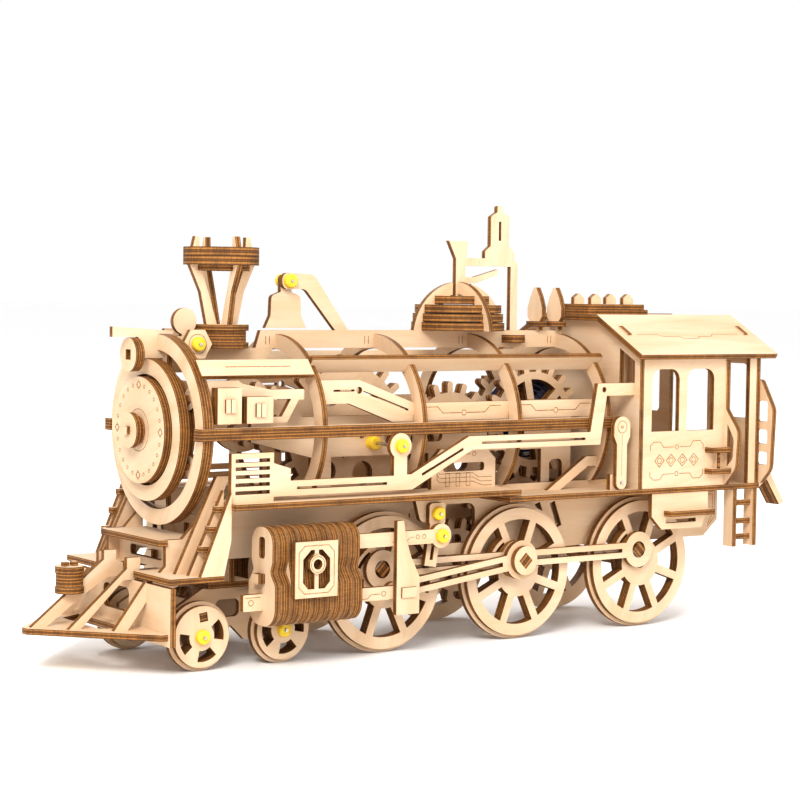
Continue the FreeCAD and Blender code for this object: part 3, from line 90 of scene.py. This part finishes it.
def solids_of(mesh):
    """Groups of polygons that close into one solid each, in the order they are stored."""
    count = len(mesh.vertices)
    co = np.empty(count * 3, np.float32)
    mesh.vertices.foreach_get("co", co)
    keys = np.round(co.reshape(-1, 3) * WELD_PER_M).astype(np.int64)
    _, welded = np.unique(keys, axis=0, return_inverse=True)
    welded = welded.ravel()
    groups, current, open_edges = [], [], {}
    for polygon in mesh.polygons:
        loop = [int(welded[v]) for v in polygon.vertices]
        current.append(polygon.index)
        for a, b in zip(loop, loop[1:] + loop[:1]):
            if a == b:
                continue
            if open_edges.get((b, a), 0) > 0:
                open_edges[(b, a)] -= 1
                if open_edges[(b, a)] == 0:
                    del open_edges[(b, a)]
            else:
                open_edges[(a, b)] = open_edges.get((a, b), 0) + 1
        if not open_edges:
            groups.append(current)
            current = []
    if current:
        groups.append(current)
    return groups


def sheet_normal(normals, areas):
    """Direction that most of a board's surface faces."""
    lean = normals[:, :1] + LEAN_Y * normals[:, 1:2] + LEAN_Z * normals[:, 2:]
    flipped = normals * np.where(lean < 0, -1.0, 1.0)
    _, inverse = np.unique(np.round(flipped * NORMAL_BINS), axis=0, return_inverse=True)
    weight = np.bincount(inverse.ravel(), weights=areas)
    best = inverse.ravel() == weight.argmax()
    direction = (flipped[best] * areas[best, None]).sum(0)
    return direction / np.linalg.norm(direction)


def mark_boards(obj, rng):
    """Stores which faces are cut edges, and where each point lies in its board, for the plywood material."""
    mesh = obj.data
    co = np.array([v.co for v in mesh.vertices], float)
    normals = np.array([p.normal for p in mesh.polygons], float)
    areas = np.array([p.area for p in mesh.polygons], float)
    cut = np.zeros(len(mesh.polygons), np.float32)
    grain = np.zeros((len(co), 3), np.float32)
    depth = np.zeros(len(co), np.float32)
    tone = np.zeros(len(co), np.float32)
    for group in solids_of(mesh):
        faces = np.array(group)
        normal = sheet_normal(normals[faces], areas[faces])
        cut[faces] = np.abs(normals[faces] @ normal) < EDGE_COS
        used = np.unique([v for f in group for v in mesh.polygons[f].vertices])
        points = co[used]
        flat = points - points.mean(0)
        flat = flat - np.outer(flat @ normal, normal)
        _, spread, axes = np.linalg.svd(flat, full_matrices=False)
        along = axes[0]
        if spread[1] > ROUND_SHARE * spread[0]:
            turn = rng.uniform(0, math.pi)
            side = np.cross(normal, along)
            along = along * math.cos(turn) + side * math.sin(turn)
        across = np.cross(normal, along)
        away = points @ normal
        grain[used, 0] = points @ along + rng.uniform(-1, 1)
        grain[used, 1] = points @ across + rng.uniform(-1, 1)
        grain[used, 2] = away
        depth[used] = (away - away.min()) / max(np.ptp(away), 1e-6)
        tone[used] = rng.uniform(0, 1)
    for name, domain, values in (("cut", "FACE", cut), ("depth", "POINT", depth), ("tone", "POINT", tone)):
        attribute = mesh.attributes.new(name, "FLOAT", domain)
        attribute.data.foreach_set("value", values)
    attribute = mesh.attributes.new("grain", "FLOAT_VECTOR", "POINT")
    attribute.data.foreach_set("vector", grain.ravel())


# ------------------------------------------------------------ materials
class Nodes:
    """A short way to write a node tree."""

    def __init__(self, name):
        self.material = bpy.data.materials.new(name)
        self.material.use_nodes = True
        self.tree = self.material.node_tree
        self.shader = self.tree.nodes["Principled BSDF"]

    def add(self, kind, inputs=None, **settings):
        node = self.tree.nodes.new(kind)
        for key, value in settings.items():
            setattr(node, key, value)
        for key, value in (inputs or {}).items():
            if isinstance(value, bpy.types.NodeSocket):
                self.tree.links.new(value, node.inputs[key])
            else:
                node.inputs[key].default_value = value
        return node

    def attribute(self, name, output="Fac"):
        return self.add("ShaderNodeAttribute", attribute_name=name).outputs[output]

    def maths(self, operation, a, b):
        return self.add("ShaderNodeMath", {0: a, 1: b}, operation=operation).outputs[0]

    def stretch(self, vector, scale):
        return self.add("ShaderNodeVectorMath", {0: vector, 1: scale}, operation="MULTIPLY").outputs[0]

    def noise(self, vector, cells, detail=3.0, roughness=0.55):
        """Noise with the stated number of cells per metre on each axis of the vector."""
        values = {"Vector": self.stretch(vector, cells), "Scale": 1.0}
        values.update({"Detail": detail, "Roughness": roughness})
        return self.add("ShaderNodeTexNoise", values).outputs["Fac"]

    def own_place(self):
        return self.add("ShaderNodeTexCoord").outputs["Object"]

    def ramp(self, value, stops):
        node = self.add("ShaderNodeValToRGB", {"Fac": value})
        while len(node.color_ramp.elements) < len(stops):
            node.color_ramp.elements.new(0.5)
        for element, (position, colour) in zip(node.color_ramp.elements, stops):
            element.position = position
            element.color = (*colour, 1.0)
        return node.outputs["Color"]

    def mix(self, share, a, b, blend="MIX"):
        node = self.add("ShaderNodeMix", data_type="RGBA", blend_type=blend)
        for index, value in ((0, share), (6, a), (7, b)):
            if isinstance(value, bpy.types.NodeSocket):
                self.tree.links.new(value, node.inputs[index])
            else:
                node.inputs[index].default_value = value if index == 0 else (*value, 1.0)
        return node.outputs[2]

    def link(self, value, name):
        self.tree.links.new(value, self.shader.inputs[name])

    def set(self, name, value):
        self.shader.inputs[name].default_value = value

    def roughness(self, value, low, high):
        """Roughness that runs from low to high with a value between 0 and 1."""
        node = self.add("ShaderNodeMapRange", {"Value": value, "To Min": low, "To Max": high})
        self.link(node.outputs[0], "Roughness")

    def bump(self, height, strength, distance):
        node = self.add("ShaderNodeBump", {"Height": height, "Strength": strength, "Distance": distance})
        self.link(node.outputs["Normal"], "Normal")


BLACK, WHITE = (0, 0, 0), (1, 1, 1)
PALE = (0.73, 0.56, 0.395)
WARM = (0.66, 0.46, 0.285)
GRAIN_DARK = (0.50, 0.30, 0.15)
BURNT = (0.050, 0.019, 0.007)
TOASTED = (0.185, 0.076, 0.019)
GOLDEN = (0.40, 0.185, 0.047)


def grey(level):
    return (level, level, level)


def plywood():
    """Pale birch faces with a fine grain; edges burnt by the laser, with the three plies showing."""
    n = Nodes("birch_plywood")
    # The stored grain runs along the grain, across it, and through the board.
    grain = n.attribute("grain", "Vector")
    cut, depth, tone = n.attribute("cut"), n.attribute("depth"), n.attribute("tone")
    broad = n.noise(grain, (22, 160, 40))
    fine = n.noise(grain, (90, 1500, 200), 4.0, 0.7)
    pores = n.noise(grain, (260, 4200, 300), 2.0, 0.6)
    face = n.ramp(broad, [(0.30, WARM), (0.62, PALE)])
    face = n.mix(n.maths("MULTIPLY", tone, 0.30), face, WARM)
    streak = n.ramp(fine, [(0.30, WHITE), (0.44, BLACK)])
    face = n.mix(n.maths("MULTIPLY", streak, 0.20), face, GRAIN_DARK)
    pore = n.ramp(pores, [(0.27, WHITE), (0.34, BLACK)])
    face = n.mix(n.maths("MULTIPLY", pore, 0.35), face, GRAIN_DARK)
    plies = n.ramp(depth, [(0.0, BURNT), (0.09, TOASTED), (0.20, GOLDEN), (0.31, GOLDEN), (0.37, BURNT),
                           (0.45, TOASTED), (0.57, TOASTED), (0.64, BURNT), (0.71, GOLDEN), (0.82, GOLDEN),
                           (0.92, TOASTED), (1.0, BURNT)])
    streaks = n.noise(grain, (1500, 1500, 260), 3.0, 0.65)
    smoke = n.noise(grain, (110, 110, 60), 2.0)
    char = n.ramp(streaks, [(0.34, grey(0.72)), (0.68, grey(1.18))])
    edge = n.mix(1.0, plies, char, "MULTIPLY")
    edge = n.mix(n.ramp(smoke, [(0.46, BLACK), (0.74, grey(0.55))]), edge, BURNT)
    n.link(n.mix(cut, face, edge), "Base Color")
    n.roughness(fine, 0.52, 0.68)
    n.set("Specular IOR Level", 0.28)
    scorch = n.maths("MULTIPLY", streaks, n.maths("MULTIPLY", cut, 1.6))
    n.bump(n.maths("ADD", n.maths("MULTIPLY", fine, 0.6), scorch), 0.35, 0.00012)
    return n.material


def engraved_wood():
    """The thin line that the laser scores on a face."""
    n = Nodes("engraved_line")
    spots = n.noise(n.own_place(), (900, 900, 900))
    n.link(n.ramp(spots, [(0.32, (0.20, 0.09, 0.035)), (0.70, (0.46, 0.27, 0.13))]), "Base Color")
    n.set("Roughness", 0.8)
    n.set("Specular IOR Level", 0.1)
    n.bump(spots, 0.3, 0.0001)
    return n.material


def steel():
    """Drawn wire with faint lengthwise scratches."""
    n = Nodes("steel_wire")
    drawn = n.noise(n.own_place(), (2600, 120, 2600))
    n.link(n.ramp(drawn, [(0.3, (0.42, 0.42, 0.43)), (0.7, (0.68, 0.68, 0.70))]), "Base Color")
    n.roughness(drawn, 0.2, 0.38)
    n.set("Metallic", 1.0)
    n.bump(drawn, 0.15, 0.00005)
    return n.material


def cap_plastic():
    """Soft satin yellow with a little unevenness from the mould."""
    n = Nodes("yellow_caps")
    cloudy = n.noise(n.own_place(), (420, 420, 420))
    n.link(n.ramp(cloudy, [(0.3, (0.78, 0.50, 0.02)), (0.7, (0.93, 0.69, 0.05))]), "Base Color")
    n.roughness(cloudy, 0.30, 0.45)
    n.set("Subsurface Weight", 0.25)
    n.set("Subsurface Radius", (0.9, 0.6, 0.1))
    n.set("Subsurface Scale", 0.001)
    n.bump(cloudy, 0.1, 0.0001)
    return n.material


def spring_ribbon():
    """Dark blue coated band."""
    n = Nodes("spring_ribbon")
    rolled = n.noise(n.own_place(), (500, 3000, 500))
    n.link(n.ramp(rolled, [(0.3, (0.008, 0.010, 0.045)), (0.7, (0.02, 0.03, 0.13))]), "Base Color")
    n.roughness(rolled, 0.22, 0.40)
    n.bump(rolled, 0.15, 0.00005)
    return n.material


MATERIALS = {
    "birch_plywood": plywood(),
    "steel_wire": steel(),
    "yellow_caps": cap_plastic(),
    "spring_ribbon": spring_ribbon(),
}
ENGRAVED = engraved_wood()


def dress_cad_nodes():
    """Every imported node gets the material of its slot, and the boards are marked for their grain."""
    rng = random.Random(BOARD_SEED)
    slots = {part["node"]: part["material_slot"] for part in frame["record"]["subparts"]}
    for name in sorted(frame["nodes"]):
        obj = frame["nodes"][name]
        slot = slots[name]
        obj.data.materials.clear()
        obj.data.materials.append(MATERIALS[slot])
        if slot == "birch_plywood":
            mark_boards(obj, rng)


dress_cad_nodes()


# ------------------------------------------------------------ fine lines scored on the faces
PROUD, SUNK = 0.03, -0.05       # top and bottom of a line, measured from the face of the wood
HAIR, FAINT, THIN, SLIM, LINE, PANEL, BOLD = 0.16, 0.20, 0.22, 0.24, 0.26, 0.28, 0.30   # widths
SHORTEST = 1e-9                 # a step below this has no direction
MITRE = 0.4                     # least cosine at a bend, so that sharp bends do not spike

BOILER_Z = 76.0
HOOP_X = (-86.0, -45.0, -3.5, 38.0)
COVER_X, COVER_Z = -98.5, 32.4
LEVER_X, LEVER_Z = 39.6, 74.6
# Distance of each engraved face from the middle of the engine.
SPINE_FACE, TURRET_FACE, FRAME_FACE, BAY_FACE = 1.0, 9.7, 21.0, 26.0
ROD_FACE, BAR_FACE, CAB_FACE, COVER_FACE, COVER_RING_FACE = 37.2, 37.3, 38.0, 46.7, 47.5
DOOR_FACE = -139.2


def ring(u, v, radius, count):
    return [(u + radius * math.cos(2 * math.pi * k / count), v + radius * math.sin(2 * math.pi * k / count))
            for k in range(count)]


def diamond(u, v, reach):
    return [(u - reach, v), (u, v - reach), (u + reach, v), (u, v + reach)]


def mirrored(points, u0):
    """The same stroke on the other side of the line u = u0."""
    return [(2 * u0 - u, v) for u, v in points]


def ribbon(points, closed, width):
    """Left and right border of a stroke of constant width."""
    count = len(points)
    left, right = [], []
    for k in range(count):
        before = points[k - 1] if closed or k > 0 else points[0]
        after = points[(k + 1) % count] if closed or k < count - 1 else points[-1]
        here = Vector(points[k])
        into, out = here - Vector(before), Vector(after) - here
        into = into.normalized() if into.length > SHORTEST else out.normalized()
        out = out.normalized() if out.length > SHORTEST else into
        along = (into + out).normalized()
        side = Vector((-along.y, along.x))
        reach = width / 2 / max(side.dot(Vector((-into.y, into.x))), MITRE)
        left.append(here + side * reach)
        right.append(here - side * reach)
    return left, right


class Engraving:
    """Strokes on flat faces of one body, gathered in one mesh of thin closed strips."""

    def __init__(self, name, body):
        self.name, self.body = name, body
        self.vertices, self.faces = [], []

    def stroke(self, face, points, width=PANEL, closed=False):
        """A strip along the points. The face gives the place of a point at a lift from the wood."""
        left, right = ribbon(points, closed, width)
        first, count = len(self.vertices), len(points)
        for a, b in zip(left, right):
            self.vertices += [face(*a, PROUD), face(*b, PROUD), face(*b, SUNK), face(*a, SUNK)]
        for k in range(count if closed else count - 1):
            a, b = first + 4 * k, first + 4 * ((k + 1) % count)
            self.faces += [(a + j, a + (j + 1) % 4, b + (j + 1) % 4, b + j) for j in range(4)]
        if not closed:
            last = first + 4 * (count - 1)
            self.faces += [(first + 3, first + 2, first + 1, first), (last, last + 1, last + 2, last + 3)]

    def circle(self, face, u, v, radius, width=LINE, count=18):
        self.stroke(face, ring(u, v, radius, count), width, closed=True)

    def build(self):
        mesh = bpy.data.meshes.new(self.name)
        mesh.from_pydata(self.vertices, [], self.faces)
        mesh.materials.append(ENGRAVED)
        outward = bmesh.new()
        outward.from_mesh(mesh)
        bmesh.ops.recalc_face_normals(outward, faces=outward.faces)
        outward.to_mesh(mesh)
        outward.free()
        obj = bpy.data.objects.new(self.name, mesh)
        bpy.context.scene.collection.objects.link(obj)
        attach(obj, self.body)


def sheet(plane, w):
    """Maps a point of the face at depth w, and its lift from the wood on the side that looks outward."""
    out = 1 if w > 0 else -1
    return lambda u, v, lift: on_sheet(plane, u, v, w + out * lift)


def tilted(sign, middle_z, middle_y, angle, thick=0.0):
    """The same for a board along the engine that leans by an angle: u along the engine, v up the slope."""
    up_y, up_z = math.cos(angle), math.sin(angle)
    return lambda u, v, lift: place(u, sign * (middle_y - v * up_y + (lift + thick) * up_z),
                                    middle_z + v * up_z + (lift + thick) * up_y)


def door_marks():
    """A row of rivet marks around the smokebox door, with four ringed diamonds, and a line by the hub."""
    door = Engraving("engraved_door", "chassis")
    face = sheet("yz", DOOR_FACE)
    count, row_r = 24, 15.0
    for k in range(count):
        angle = 2 * math.pi * k / count
        u, v = row_r * math.cos(angle), BOILER_Z + row_r * math.sin(angle)
        if k % (count // 4) == 0:
            door.circle(face, u, v, 0.95, SLIM)
            door.stroke(face, diamond(u, v, 1.55), FAINT, closed=True)
        else:
            door.circle(face, u, v, 0.55, THIN, count=12)
    door.circle(face, 0, BOILER_Z, 7.0, FAINT, count=40)
    door.build()


def panel_lines(marks, face, first, last, middle_z):
    """A line that steps down to a small ring in the middle of a panel."""
    centre, high, low = (first + last) / 2, middle_z + 1.3, middle_z - 0.9
    half = [(first + 3.5, high), (centre - 11.5, high), (centre - 9.2, low), (centre - 1.2, low)]
    marks.stroke(face, half)
    marks.stroke(face, mirrored(half, centre))
    marks.circle(face, centre, low, 0.95)


def pipe_maze(marks, face):
    """Bundle of bent pipes with couplings, drawn on the panel below the boiler."""
    for k in range(3):
        v = 59.3 - 1.5 * k
        marks.stroke(face, [(-34.5, v + 6.0), (-35.6, v + 4.8), (-35.6, v + 1.2), (-34.5, v), (-20.0, v),
                            (-17.5 + k, v - 1.6), (-11.5, v - 1.6)], THIN)
    low, high, half = 54.8, 59.4, 0.8
    for u in (-31.0, -26.5, -22.0):
        coupling = [(u - half, low), (u + half, low), (u + half, high), (u - half, high)]
        marks.stroke(face, coupling, THIN, closed=True)
    rivets_z = 66.0
    for u in (-33.5, -28.0, -19.5):
        marks.circle(face, u, rivets_z, 0.75, THIN, count=14)
    for u0, u1 in ((-31.5, -29.5), (-26.5, -21.0)):
        marks.stroke(face, [(u0, rivets_z), (u1, rivets_z)], THIN)


def cab_plaque(marks, face):
    """Plain frame with cut corners around a row of four ringed diamonds."""
    u0, u1, v0, v1 = 52.6, 79.0, 54.6, 68.6
    middle, centre = (u0 + u1) / 2, (v0 + v1) / 2
    for low, high, step in ((v0, v0 + 3.2, 1), (v1, v1 - 3.2, -1)):
        dent = low + step * 2.0
        edge = [(u0, high), (u0, low + step * 1.4), (u0 + 1.6, low), (middle - 8.2, low),
                (middle - 6.6, dent), (middle - 1.4, dent)]
        marks.stroke(face, edge, LINE)
        marks.stroke(face, mirrored(edge, middle), LINE)
        marks.circle(face, middle, dent, 0.8, SLIM, count=14)
    pitch = 5.7
    for k in (-1.5, -0.5, 0.5, 1.5):
        u = middle + pitch * k
        marks.stroke(face, diamond(u, centre, 2.3), BOLD, closed=True)
        marks.circle(face, u, centre, 1.0, count=16)


def cylinder_marks(marks, sign):
    """Eight-sided line on the cylinder cover, a ring on its raised part, and marks on the tail guide."""
    narrow, wide, low, high = 4.6, 6.8, 5.6, 7.8
    corners = ((-wide, -low), (-narrow, -high), (narrow, -high), (wide, -low), (wide, low), (narrow, high),
               (-narrow, high), (-wide, low))
    eight = [(COVER_X + du, COVER_Z + dv) for du, dv in corners]
    marks.stroke(sheet("xz", sign * COVER_FACE), eight, LINE, closed=True)
    marks.circle(sheet("xz", sign * COVER_RING_FACE), COVER_X, COVER_Z + 1.7, 2.6, THIN, count=24)
    tail = sheet("xz", sign * BAR_FACE)
    marks.circle(tail, -117.6, 21.5, 0.9, count=16)
    marks.stroke(tail, [(-119.8, 23.2), (-114.0, 23.2)], THIN)


def frame_marks(marks, sign):
    """Two nested lines at the rear of the main frame."""
    face = sheet("xz", sign * FRAME_FACE)
    for k in range(2):
        top, rear = 47.0 - k, 101.5 - k
        marks.stroke(face, [(93.5 + k, top), (rear, top), (rear, 37.0 + k), (98.0, 33.5 + k)], SLIM)


def top_marks(marks, sign):
    """Rings on the turrets, ticks on the spine, and lines on the upper plank and on the roof."""
    marks.circle(sheet("xz", sign * TURRET_FACE), -122.5, 104.6, 3.3, THIN, count=24)
    spine = sheet("xz", sign * SPINE_FACE)
    for x in HOOP_X:
        for step in (3.4, 4.9):
            marks.stroke(spine, [(x - step, 104.2), (x - step, 107.0)], BOLD)
    angle, radius = math.radians(50), 33.3
    plank = tilted(sign, BOILER_Z + radius * math.cos(angle), radius * math.sin(angle), angle)
    marks.stroke(plank, [(-121.0, 0.3), (-96.0, 0.3)], BOLD)
    eaves_y, eaves_z, ridge_y, ridge_z, board = 42.0, 99.3, 17.0, 113.0, 2.0
    lean = math.atan2(ridge_z - eaves_z, eaves_y - ridge_y)
    roof = tilted(sign, (eaves_z + ridge_z) / 2, (eaves_y + ridge_y) / 2, lean, board)
    high, middle, low = 0.6, -1.0, -2.5
    marks.stroke(roof, [(52.0, high), (62.0, high), (64.0, middle), (72.0, middle), (73.5, low), (80.5, low),
                        (82.0, middle), (88.0, middle), (90.0, high), (103.0, high)], LINE)


def chassis_marks(side, sign):
    """Everything scored on the fixed boards of one side."""
    marks = Engraving(side + "_engraved_body", "chassis")
    bay = sheet("xz", sign * BAY_FACE)
    panel_z = 81.6
    panel_lines(marks, bay, -44.0, -4.5, panel_z)
    panel_lines(marks, bay, -2.5, 37.0, panel_z)
    pipe_maze(marks, bay)
    cab_plaque(marks, sheet("xz", sign * CAB_FACE))
    cylinder_marks(marks, sign)
    frame_marks(marks, sign)
    top_marks(marks, sign)
    marks.build()


def moving_marks(side, sign):
    """Rings and lines on the piston bar and on the valve rod."""
    bar = Engraving(side + "_engraved_piston_bar", side + "_crosshead")
    face = sheet("xz", sign * BAR_FACE)
    bar.circle(face, -65.4, 20.9, 0.85, SLIM, count=14)
    bar.stroke(face, [(-76.0, 19.6), (-72.0, 19.6), (-70.6, 20.9), (-66.8, 20.9)], SLIM)
    bar.build()
    rod = Engraving(side + "_engraved_valve_rod", side + "_valve_rod")
    face = sheet("xz", sign * ROD_FACE)
    for x in (-51.5, -48.8):
        rod.circle(face, x, 39.4, 0.7, THIN, count=14)
    rod.stroke(face, [(-62.0, 38.2), (-56.0, 38.2), (-54.6, 39.4), (-53.0, 39.4)], THIN)
    rod.build()


def lever_mark():
    """A ring with a dot at the head of the control lever, and a line down its middle."""
    lever = Engraving("engraved_lever", "control_lever")
    face = sheet("xz", -ROD_FACE)
    lever.circle(face, LEVER_X, LEVER_Z, 2.2, SLIM, count=22)
    lever.circle(face, LEVER_X, LEVER_Z, 0.45, BOLD, count=10)
    lever.stroke(face, [(LEVER_X, 71.8), (LEVER_X, 56.5)], HAIR)
    lever.build()


door_marks()
for side, sign in (("near", -1), ("far", 1)):
    chassis_marks(side, sign)
    moving_marks(side, sign)
lever_mark()


# ------------------------------------------------------------ studio
FLOOR_HALF = 12.0
WORLD_STRENGTH = 1.02
CONTRAST_GAMMA = 0.86
# Position from the middle of the engine, size of the disc, power and colour.
LIGHTS = {
    "key": ((-0.75, -0.75, 0.75), 0.50, 13.0, (1.0, 0.98, 0.95)),
    "side": ((0.35, -1.1, 0.55), 0.7, 4.0, WHITE),
    "rear": ((0.5, 0.9, 0.8), 0.6, 5.0, WHITE),
}


def turn_to(direction):
    """Rotation of a lamp or camera that looks along a direction."""
    return direction.to_track_quat("-Z", "Y")


def pale_floor():
    n = Nodes("studio_floor")
    tint = n.noise(n.own_place(), (3, 3, 3), 2.0)
    n.link(n.ramp(tint, [(0.0, grey(0.96)), (1.0, grey(0.98))]), "Base Color")
    n.set("Roughness", 0.9)
    n.set("Specular IOR Level", 0.1)
    mesh = bpy.data.meshes.new("floor")
    half = FLOOR_HALF
    corners = [(-half, -half, 0), (half, -half, 0), (half, half, 0), (-half, half, 0)]
    mesh.from_pydata(corners, [], [(0, 1, 2, 3)])
    floor = bpy.data.objects.new("floor", mesh)
    bpy.context.scene.collection.objects.link(floor)
    mesh.materials.append(n.material)


def area_light(name, position, target, size, power, colour):
    data = bpy.data.lights.new(name, "AREA")
    data.shape = "DISK"
    data.size = size
    data.energy = power
    data.color = colour
    lamp = bpy.data.objects.new(name, data)
    bpy.context.scene.collection.objects.link(lamp)
    lamp.location = position
    lamp.rotation_mode = "QUATERNION"
    lamp.rotation_quaternion = turn_to(target - position)


def studio():
    """A white room with a key light from the front left, and softer ones from the side and the rear."""
    world = bpy.data.worlds.new("studio")
    bpy.context.scene.world = world
    world.use_nodes = True
    background = world.node_tree.nodes["Background"]
    background.inputs["Color"].default_value = (*WHITE, 1.0)
    background.inputs["Strength"].default_value = WORLD_STRENGTH
    middle = (cad_box[0] + cad_box[1]) / 2
    for name, (away, size, power, colour) in LIGHTS.items():
        area_light(name, middle + Vector(away), middle, size, power, colour)


def camera():
    """The view from the front on the near side, a little above the deck, from three quarters of a metre."""
    azimuth, elevation, roll = math.radians(-35.06), math.radians(3.01), math.radians(0.8)
    distance, aim = 764.65, Vector((-33.6, 0.0, 83.93))
    level = math.cos(elevation)
    away = Vector((math.sin(azimuth) * level, -math.cos(azimuth) * level, math.sin(elevation)))
    data = bpy.data.cameras.new("camera")
    data.sensor_width = 36.0
    data.lens = 95.8
    data.clip_start = 0.01
    data.clip_end = 100.0
    eye = bpy.data.objects.new("camera", data)
    bpy.context.scene.collection.objects.link(eye)
    eye.location = place(*(aim + away * distance))
    eye.rotation_mode = "QUATERNION"
    eye.rotation_quaternion = turn_to(-away) @ Matrix.Rotation(roll, 3, "Z").to_quaternion()
    bpy.context.scene.camera = eye


bpy.context.scene.view_settings.view_transform = "Standard"
bpy.context.scene.view_settings.gamma = CONTRAST_GAMMA
pale_floor()
studio()
camera()
